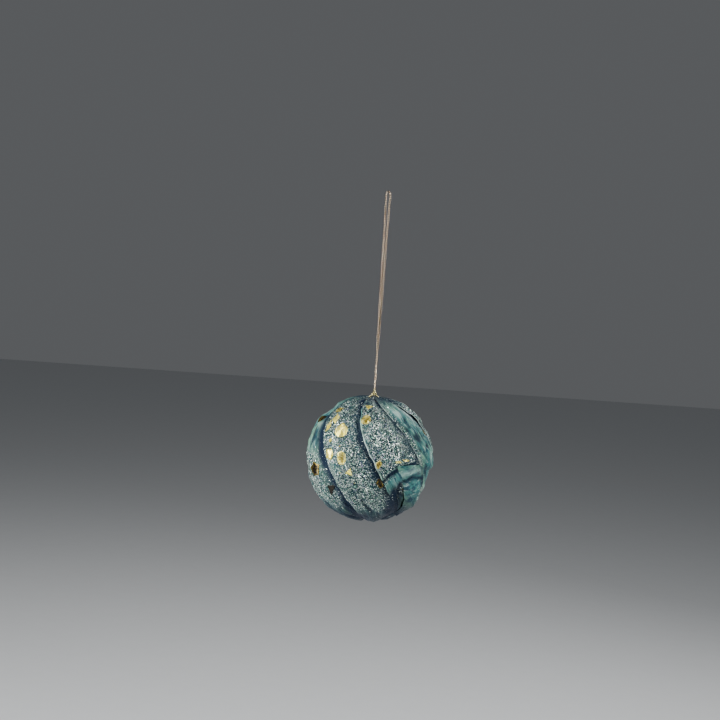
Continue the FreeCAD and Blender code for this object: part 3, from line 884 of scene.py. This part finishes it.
class PAPERBALL_OT_leaves(bpy.types.Operator):
    """Make the eight crinkled paper leaves"""
    bl_idname = "paper_ball.leaves"
    bl_label = "Paper leaves"

    def execute(self, context):
        paper, material = paper_and_finish(context)
        tip = math.degrees(math.asin(paper.tip_ring / CORE_RADIUS))
        for leaf in range(LEAF_COUNT):
            def surface(across, polar, leaf=leaf):
                radius, longitude = leaf_surface(leaf, across, polar, paper)
                relief = crinkle(leaf, across, polar, paper)
                upper, lower, _, _, dark = LEAF_LIE[leaf]
                # How strong the painted highlight along the free edge is.
                edge = upper + (lower - upper) * smooth_step(96.0, 112.0, polar)
                if leaf == PATCH_LEAF:
                    edge = bump(polar - 78.0, 22.0)
                worn, deep = painted_light_and_shade(relief, across, polar, edge, dark)
                if leaf == PATCH_LEAF:
                    # Painted shade in the wedge, the cleft and the groove beside the patch.
                    for form, width, most in (("wedge", 5.0, 1.0), ("cleft", 2.4, 1.0),
                                              ("groove", 1.2, 0.9)):
                        deep = np.maximum(deep, most * near(form, polar, longitude, width))
                flat = paper_coordinates(leaf, across, polar)
                # The glitter thins out under the painted shade.
                glitter = glitter_mask(leaf, across, polar, longitude) * (1 - 0.8 * deep ** 1.5)
                if leaf == PATCH_LEAF:
                    # Glued flat under the patch, and left bare of glitter just beside it.
                    hidden = under_patch(across, polar)
                    flat_down = CORE_RADIUS + paper.floor + paper.thickness
                    radius = radius + (flat_down - radius) * hidden
                    beside = smooth_step(-0.12, -0.07, across - patch_left(polar))
                    glitter = glitter * (1 - hidden) * (1 - beside * smooth_step(112, 118, polar))
                return radius, longitude, flat, glitter, worn, deep

            node = "paper_leaf_%d" % (leaf + 1)
            sheet_piece("leaf_%d" % (leaf + 1), surface, lambda v: v * 0, 1.0 + paper.lap,
                        (tip, 180 - tip), LEAF_GRID, paper.thickness, material,
                        [node])
        return {"FINISHED"}


class PAPERBALL_OT_patch(bpy.types.Operator):
    """Make the crumpled patch at the lower right, with its thick rolled top edge"""
    bl_idname = "paper_ball.patch"
    bl_label = "Crumpled patch"

    def execute(self, context):
        paper, material = paper_and_finish(context)

        def left(v):
            return patch_left(PATCH_ENDS[0] + v * (PATCH_ENDS[1] - PATCH_ENDS[0]))

        def surface(across, polar):
            radius, longitude = leaf_surface(PATCH_LEAF, across, polar, paper)
            share = np.clip((across - patch_left(polar)) / (PATCH_RIGHT - 0.36), 0, 1)
            tucked = smooth_step(1.0, 0.86, across)
            # Lengths down the patch and heights above the leaf are in millimetres.
            down = (polar - PATCH_ENDS[0]) * math.pi / 180 * CORE_RADIUS / MM
            crest = 5.2 - 3.2 * smooth_step(0.0, 0.45, share) + 2.4 * share
            ridge = 2.3 * bump(down - crest, 2.3) * smooth_step(-0.05, 0.35, share)
            ridge = ridge + 0.9 * bump(down - crest - 2.6, 1.0) * share
            fold = crest + 4.6 + 0.8 * share
            crease = -(0.7 + 1.2 * share) * bump(down - fold, 1.6)
            lobe = 0.4 + 0.6 * np.sin(math.pi * np.clip(0.15 + share, 0, 1))
            lobe = 2.9 * lobe * smooth_step(8, 17, down) * smooth_step(41, 25, down)
            relief = crinkle(PATCH_CRINKLE, across, polar, paper) * smooth_step(0.0, 0.15, share)
            height = (ridge + crease + lobe + 0.7 * relief / MM) * tucked
            height = height + 0.12 + 0.18 * smooth_step(0.0, 0.2, share)
            least = CORE_RADIUS + paper.floor + paper.thickness + paper.gap + PATCH_THICKNESS
            radius = np.maximum(radius + height * MM, least)
            # The patch was cut across the paper, so its veins run along the ridge.
            flat = paper_coordinates(PATCH_LEAF, across, polar)[:, [1, 0, 2]]
            flat = flat * np.array([0.8, 1.0, 1.3])
            # Painted highlight along the ridge's crest and painted shade in the crease below it;
            # the shadow is painted shade that darkens the patch towards its bottom.
            worn, deep = painted_light_and_shade(relief, share + 0.02, polar)
            worn = np.clip(0.5 * worn + 0.2 * bump(down - crest, 1.6), 0, 1)
            shadow = 0.5 * smooth_step(104.0, 134.0, polar)
            deep = np.clip(0.5 * deep + 0.6 * bump(down - fold, 1.2) + shadow, 0, 1)
            return radius, longitude, flat, share * 0, worn, deep

        sheet_piece("patch", surface, left, PATCH_RIGHT, PATCH_ENDS, PATCH_GRID, PATCH_THICKNESS,
                    material, ["folded_patch"])
        return {"FINISHED"}


class PAPERBALL_OT_discs(bpy.types.Operator):
    """Make the two gathered discs of paper where the leaves' tips end"""
    bl_idname = "paper_ball.discs"
    bl_label = "Tip discs"

    def execute(self, context):
        _, material = paper_and_finish(context)
        for name, node, side in (("disc_top", "crown_disc", 1), ("disc_base", "base_disc", -1)):
            self.make_disc(name, node, side, material)
        return {"FINISHED"}

    def make_disc(self, name, node, side, material):
        """A gathered disc: pleats run out from its middle, and it has a thickness and a rim."""
        rings, spokes = 16, 96
        thickness = 0.3 * MM
        r = np.repeat(np.linspace(0.02, 1.0, rings), spokes)
        a = np.tile(np.linspace(0, 2 * math.pi, spokes, False), rings)
        reach = 1.08 * TIP_DISC_RADIUS * r
        x, y = reach * np.cos(a), reach * np.sin(a)
        pleat = np.abs(np.sin(a * 4.5 + 2.5 * r)) * 0.35 * MM * r
        ripple = noise_at(np.stack([x, y, r * 0], -1), 1.1 * MM, 2.0)
        height = 0.45 * MM + pleat + 0.12 * MM * ripple + 0.25 * MM * r ** 4
        level = np.sqrt(CORE_RADIUS ** 2 - reach ** 2) + height
        points = [np.stack([x, y, CENTRE.z + side * (level - drop)], -1)
                  for drop in (0.0, thickness)]
        total, last = rings * spokes, (rings - 1) * spokes
        faces = bands(rings, spokes) + [face[::-1] for face in bands(rings, spokes, total)]
        for s in range(spokes):
            n = (s + 1) % spokes
            faces += [(s, total + s, total + n, n),
                      (last + n, total + last + n, total + last + s, last + s)]
        if side < 0:
            faces = [face[::-1] for face in faces]
        flat = np.stack([a * 3.0, reach / MM, r * 0 + 300.0], -1)
        both = np.concatenate
        # Painted highlight on the pleats' crests, and painted shade darker towards the disc's
        # middle.
        attributes = {"paper": both([flat, flat]), "glitter": both([0.45 + 0 * r, 0 * r]),
                      "worn": both([0.3 * smooth_step(0.2 * MM, 0.4 * MM, pleat), 0 * r]),
                      "deep": both([0.8 - 0.5 * r, 0.5 + 0 * r])}
        mesh_piece(name, both(points), faces, material, attributes, [node])


class PAPERBALL_OT_glitter(bpy.types.Operator):
    """Strew glitter grains and crumbs of gold leaf over the paper"""
    bl_idname = "paper_ball.glitter"
    bl_label = "Glitter"

    def execute(self, context):
        settings = context.scene.paper_ball
        glitter, gold = settings.glitter, settings.gold
        grains = material_of("foiled_film_glitter", make_grain_material, glitter)
        leaf_gold = material_of("beaten_gold_leaf", make_gold_leaf, gold)
        tree = scatter_tree()
        for leaf in range(LEAF_COUNT):
            source = bpy.data.objects["leaf_%d" % (leaf + 1)]
            self.strew(source, "glitter_%d" % (leaf + 1), tree, "glitter_paper", {
                "Mask": "glitter", "Density": glitter.density / MM ** 2, "Width": glitter.grain,
                "Tilt": glitter.tilt, "Rise": 0.16 * MM, "Corners": 6,
                "Seed": glitter.seed + leaf, "Material": grains})
            if LEAF_GLITTER[leaf][0] + LEAF_GLITTER[leaf][1] < 0.2:
                continue
            crumbs = self.strew(source, "gold_crumbs_%d" % (leaf + 1), tree, "gold_leaf", {
                "Mask": "glitter", "Density": gold.crumb_density / MM ** 2, "Width": gold.crumb,
                "Tilt": 0.25, "Rise": 0.2 * MM, "Corners": 5,
                "Seed": 40 + glitter.seed + leaf, "Material": leaf_gold})
            shares = crumbs.data.attributes["grain"]
            bright = crumbs.data.attributes.new("bright", "FLOAT", "POINT")
            values = np.zeros(len(crumbs.data.vertices), np.float32)
            shares.data.foreach_get("value", values)
            bright.data.foreach_set("value", 0.3 + 0.7 * values)
        return {"FINISHED"}

    def strew(self, source, name, tree, slot, values):
        """Plates strewn over a piece by the scatter tree, as a piece of their own."""
        copy = in_scene("strewn", source.data.copy())
        return place(name, grown(copy, tree, values), "ball")


class PAPERBALL_OT_gold_leaf(bpy.types.Operator):
    """Lay the large flakes of gold leaf on the paper"""
    bl_idname = "paper_ball.gold_leaf"
    bl_label = "Gold leaf"

    def execute(self, context):
        settings = context.scene.paper_ball
        paper, gold = settings.paper, settings.gold
        material = material_of("beaten_gold_leaf", make_gold_leaf, gold)
        grouped = {}
        for flake in FLAKES:
            grouped.setdefault(self.leaf_under(flake[0], flake[1]), []).append(flake)
        for leaf, flakes in sorted(grouped.items()):
            points, faces, bright = [], [], []
            for flake in flakes:
                more, new_faces, shine = self.flake(flake, leaf, paper, gold)
                faces += [tuple(i + len(points) for i in face) for face in new_faces]
                points += more
                bright += shine
            node = "gold_flakes_%d" % (leaf + 1)
            mesh_piece("flakes_%d" % (leaf + 1), points, faces, material,
                       {"bright": np.array(bright)}, [node])
        return {"FINISHED"}

    def leaf_under(self, longitude, polar):
        """The leaf that a flake lies on."""
        for leaf in range(-LEAF_COUNT, 2 * LEAF_COUNT):
            if leaf_edge(leaf, polar) <= longitude < leaf_edge(leaf + 1, polar):
                return leaf % LEAF_COUNT

    def flake(self, flake, leaf, paper, gold):
        """One torn flake that follows the paper, as rings of points out from its middle."""
        longitude, polar, width, height, lean, corners, middle, rim = flake
        rng = random.Random(int(longitude * 91 + polar * 7))
        steps = corners * FLAKE_SIDE_POINTS
        # Straight sides between uneven corners, torn a little along the way.
        reach = []
        tips = [1.0 + rng.uniform(-0.14, 0.14) for _ in range(corners)]
        for k in range(steps):
            corner, part = divmod(k, FLAKE_SIDE_POINTS)
            first, second = tips[corner], tips[(corner + 1) % corners]
            t = part / FLAKE_SIDE_POINTS
            chord = math.cos(math.pi / corners) / math.cos(math.pi / corners * (2 * t - 1))
            reach.append((first + (second - first) * t) * chord * (1 + rng.uniform(-0.05, 0.05)))
        lean = math.radians(lean)
        flat = []
        for ring in FLAKE_RINGS:
            for k in range(steps):
                angle = 2 * math.pi * k / steps
                x = ring * reach[k] * width / 2 * math.sin(angle)
                y = ring * reach[k] * height / 2 * math.cos(angle)
                flat.append((x * math.cos(lean) + y * math.sin(lean),
                             y * math.cos(lean) - x * math.sin(lean), ring))
        flat = np.array([(0.0, 0.0, 0.0)] + flat)
        shine = middle + (rim - middle) * smooth_step(0.45, 0.95, flat[:, 2])
        from_axis = math.sin(math.radians(polar)) * CORE_RADIUS / MM
        longitudes = longitude + np.degrees(flat[:, 0] / from_axis)
        polars = polar - np.degrees(flat[:, 1] * MM / CORE_RADIUS)
        start = leaf_edge(leaf, polars)
        span = leaf_edge(leaf + 1, polars) - start
        across = np.clip((longitudes - start + 360 * (longitude < start[0])) / span, 0.012, 0.97)
        radius, longitudes = leaf_surface(leaf, across, polars, paper)
        # It lies 0.1 mm off the paper on its glue, and its rim curls up in places.
        curl = 0.1 * MM * flat[:, 2] ** 6 * (1 + np.sin(5 * flat[:, 0] + longitude))
        upper = on_ball(radius + 0.1 * MM + curl + gold.thickness, polars, longitudes)
        lower = on_ball(radius + 0.1 * MM + curl, polars, longitudes)
        total = len(flat)
        faces = [face[::-1] for face in bands(len(FLAKE_RINGS), steps, 1)]
        faces += bands(len(FLAKE_RINGS), steps, total + 1)
        edge = total - steps
        for k in range(steps):
            n = (k + 1) % steps
            faces += [(0, 1 + n, 1 + k), (total, total + 1 + k, total + 1 + n),
                      (edge + n, total + edge + n, total + edge + k, edge + k)]
        if height < 0:
            faces = [face[::-1] for face in faces]
        return upper.tolist() + lower.tolist(), faces, np.tile(shine, 2).tolist()


# ---- the cord -----------------------------------------------------------------------------
def route_curve(name, points):
    """A NURBS line with a route's points as its control points."""
    curve = bpy.data.curves.new(name, "CURVE")
    curve.dimensions = "3D"
    curve.resolution_u = 24
    spline = curve.splines.new("NURBS")
    spline.points.add(len(points) - 1)
    for point, position in zip(spline.points, points):
        point.co = (*position, 1.0)
    spline.order_u = 3
    spline.use_endpoint_u = True
    return in_scene(name, curve)


def cord_piece(name, points, cord, body, stands_for=()):
    """A piece of cord: its plies, twisted along a route."""
    material = material_of("foil_wound_cord", make_cord_material, cord)
    values = {"Diameter": cord.diameter, "Pitch": cord.pitch, "Plies": cord.plies,
              "Step": cord.pitch / 14, "Material": material}
    mesh = grown(route_curve(name, points), cord_tree(), values)
    return place(name, mesh, body, stands_for)


class PAPERBALL_OT_cord(bpy.types.Operator):
    """Make the doubled hanging cord"""
    bl_idname = "paper_ball.cord"
    bl_label = "Hanging cord"

    def execute(self, context):
        size = CORD_DIAMETER
        left = [Vector((x * size, y * size, CORD_BOTTOM * (1 - share)))
                for x, y, share in CORD_HALF]
        left.append(Vector((-CORD_BIGHT * size, 0, size / 2)))
        right = [Vector((-p.x, -p.y, p.z)) for p in reversed(left)]
        route = left + right
        line = route_curve("cord_line", route)
        path = [v.co.copy() for v in bpy.data.meshes.new_from_object(line).vertices]
        bpy.data.objects.remove(line)
        piece = cord_piece("cord", route, context.scene.paper_ball.cord, None, ["hanging_cord"])
        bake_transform(piece)
        return {"FINISHED"}


class PAPERBALL_OT_knot(bpy.types.Operator):
    """Tie the knot, its two legs and the stitch that holds the ball"""
    bl_idname = "paper_ball.knot"
    bl_label = "Knot and legs"

    def execute(self, context):
        cord = context.scene.paper_ball.cord
        cord_piece("knot_wraps", self.overhand_knot(), cord, "knot", ["cord_knot"])
        half = CORD_DIAMETER / 2
        for name, side in (("strand_front", -1), ("strand_back", 1)):
            # From the hanging cord's end into the knot, bending away to its own side.
            y = side * 0.55 * CORD_DIAMETER
            route = [Vector((0, y, CORD_BOTTOM + 0.05 * MM))]
            route += [Vector((-side * out * MM, share * y, KNOT.z + above * MM))
                      for out, share, above in ((0, 1.1, 1.3), (0.3, 1.2, 0.3), (0.8, 0.5, -0.6))]
            cord_piece(name, route, cord, "knot")
        for name, side in (("leg_left", -1), ("leg_right", 1)):
            foot = Vector((side * LEG_FOOT.x, 0, LEG_FOOT.z))
            span = foot - KNOT
            route = [KNOT + span * 0.15, KNOT + span * 0.6 + Vector((side, 0, 1)) * 0.12 * MM,
                     foot + Vector((0, 0, 0.15 * MM)), foot - Vector((0, 0, half))]
            cord_piece(name, route, cord, "bridle", ["bridle_" + name])
        low = STITCH_LOW.z + half
        inner = STITCH_HIGH.x - half
        right = [Vector((inner - 0.1 * MM, 0, low)), Vector((inner, 0, low + 1.4 * MM)),
                 Vector((inner, 0, STITCH_HIGH.z))]
        left = [Vector((-p.x, 0, p.z)) for p in reversed(right)]
        cord_piece("stitch", left + right, cord, "ball", ["anchor_stitch"])
        return {"FINISHED"}

    def overhand_knot(self):
        """The line of an overhand knot, which crosses itself three times, drawn tight."""
        reach = KNOT_RADIUS - CORD_DIAMETER / 2
        line = []
        for k in range(KNOT_POINTS):
            t = 2 * math.pi * k / (KNOT_POINTS - 1)
            line.append(Vector((reach * (math.sin(t) + 2 * math.sin(2 * t)) / 3,
                                -KNOT_DEPTH * math.sin(3 * t),
                                reach * (2 * math.cos(2 * t) - math.cos(t)) / 3)) + KNOT)
        return line


class PAPERBALL_OT_core(bpy.types.Operator):
    """Finish the hidden core: pulp, card and gummed tape"""
    bl_idname = "paper_ball.core"
    bl_label = "Core"

    def execute(self, context):
        # Moulded paper pulp: grey-brown felt of torn fibres 1 to 2 mm long.
        pulp = make_fibre_material("moulded_paper_pulp", "#a79f90", "#857b6a", 0.9, 0.9)
        # Greyboard: dense, smoother, with flecks about 0.5 mm.
        card = make_fibre_material("greyboard_card", "#9b8a6c", "#857459", 2.0, 0.8)
        # Gummed kraft tape: brown, slightly shiny from the dried gum.
        tape = make_fibre_material("gummed_kraft_tape", "#b4956a", "#a3835a", 1.4, 0.55)
        for node, material in (("core_upper", pulp), ("core_lower", pulp),
                               ("reinforcing_disc", card), ("seam_tape", tape)):
            shown = frame["nodes"][node]
            shown.data.materials.clear()
            shown.data.materials.append(material)
        return {"FINISHED"}


# ---- the stage ----------------------------------------------------------------------------
# Each light's name, place from the ball's middle in metres, width and height, and power in watts.
SOFTBOXES = [("key_left", (-0.92, -0.48, 0.26), (0.35, 0.9), 20.0),
             ("top_left", (-0.66, -0.18, 0.76), (0.35, 0.35), 5.5),
             ("fill_right", (0.90, -0.42, 0.50), (0.35, 0.6), 14.5),
             ("rim_right", (0.55, 0.75, 0.55), (0.4, 0.4), 4.0)]
SKY_STRENGTH = 0.14
FLOOR_HALF = 6.0
SENSOR_MM = 36.0


def softbox(name, spot, size, power):
    """A white rectangular light that faces the ball."""
    light = bpy.data.lights.new(name, "AREA")
    light.shape = "RECTANGLE"
    light.size, light.size_y = size
    light.energy = power
    made = in_scene(name, light)
    made.location = Vector(spot) + CENTRE
    made.rotation_euler = (-Vector(spot)).to_track_quat("-Z", "Y").to_euler()


class PAPERBALL_OT_stage(bpy.types.Operator):
    """Set up the camera, the soft lights and the pale floor"""
    bl_idname = "paper_ball.stage"
    bl_label = "Stage"

    def execute(self, context):
        stage = context.scene.paper_ball.stage
        self.make_camera(context, stage)
        self.make_floor(stage)
        for light in SOFTBOXES:
            softbox(*light)
        world = bpy.data.worlds.new("pale_surround")
        context.scene.world = world
        world.use_nodes = True
        background = world.node_tree.nodes["Background"]
        background.inputs["Color"].default_value = stage.sky
        background.inputs["Strength"].default_value = SKY_STRENGTH
        return {"FINISHED"}

    def make_camera(self, context, stage):
        """Looks down at the ball by the elevation, with the ball off the picture's middle."""
        camera = bpy.data.cameras.new("camera")
        camera.lens = stage.lens
        camera.sensor_width = SENSOR_MM
        seen = SENSOR_MM / stage.lens
        pitch = math.radians(stage.elevation) - math.atan(stage.ball_below * seen)
        forward = Vector((0, math.cos(pitch), -math.sin(pitch)))
        roll = math.radians(stage.roll)
        level_right = Vector((1, 0, 0))
        level_up = level_right.cross(forward)
        right = level_right * math.cos(roll) + level_up * math.sin(roll)
        up = level_up * math.cos(roll) - level_right * math.sin(roll)
        offset = forward + right * stage.ball_right * seen - up * stage.ball_below * seen
        made = in_scene("camera", camera)
        turned = Matrix((right, up, -forward)).transposed()
        made.matrix_world = Matrix.LocRotScale(CENTRE - offset * stage.distance, turned, None)
        context.scene.camera = made

    def make_floor(self, stage):
        """A flat square floor, well below the ball."""
        mesh = bpy.data.meshes.new("floor")
        corners = [(x * FLOOR_HALF, y * FLOOR_HALF, CENTRE.z - stage.floor_drop)
                   for x, y in ((-1, -1), (1, -1), (1, 1), (-1, 1))]
        mesh.from_pydata(corners, [], [(0, 1, 2, 3)])
        mesh.materials.append(make_floor_paint(stage))
        in_scene("floor", mesh)


# ---- the panel and the run ----------------------------------------------------------------
class PaperBallSettings(bpy.types.PropertyGroup):
    """Everything a user may change."""
    paper: bpy.props.PointerProperty(type=PaperSettings, name="Paper")
    glitter: bpy.props.PointerProperty(type=GlitterSettings, name="Glitter")
    gold: bpy.props.PointerProperty(type=GoldSettings, name="Gold leaf")
    cord: bpy.props.PointerProperty(type=CordSettings, name="Cord")
    stage: bpy.props.PointerProperty(type=StageSettings, name="Stage")


OPERATORS = [PAPERBALL_OT_stage, PAPERBALL_OT_knot, PAPERBALL_OT_cord, PAPERBALL_OT_leaves,
             PAPERBALL_OT_patch, PAPERBALL_OT_discs, PAPERBALL_OT_glitter, PAPERBALL_OT_gold_leaf,
             PAPERBALL_OT_core]


class PAPERBALL_PT_panel(bpy.types.Panel):
    """Lists the pieces of the paper ball and their settings"""
    bl_label = "Paper Ball"
    bl_idname = "PAPERBALL_PT_panel"
    bl_space_type = "VIEW_3D"
    bl_region_type = "UI"
    bl_category = "Paper Ball"

    def draw(self, context):
        settings = context.scene.paper_ball
        for group in ("paper", "glitter", "gold", "cord", "stage"):
            box = self.layout.box()
            box.label(text=group.capitalize())
            values = getattr(settings, group)
            for key in values.__annotations__:
                box.prop(values, key)
        for operator in OPERATORS:
            self.layout.operator(operator.bl_idname)


CLASSES = [PaperSettings, GlitterSettings, GoldSettings, CordSettings, StageSettings,
           PaperBallSettings, *OPERATORS, PAPERBALL_PT_panel]


def register():
    for cls in CLASSES:
        bpy.utils.register_class(cls)
    bpy.types.Scene.paper_ball = bpy.props.PointerProperty(type=PaperBallSettings)


def unregister():
    del bpy.types.Scene.paper_ball
    for cls in reversed(CLASSES):
        bpy.utils.unregister_class(cls)


def main():
    register()
    bpy.ops.paper_ball.stage()
    bpy.ops.paper_ball.knot()
    bpy.ops.paper_ball.cord()
    bpy.ops.paper_ball.leaves()
    bpy.ops.paper_ball.patch()
    bpy.ops.paper_ball.discs()
    bpy.ops.paper_ball.glitter()
    bpy.ops.paper_ball.gold_leaf()
    bpy.ops.paper_ball.core()


if __name__ == "__main__":
    main()
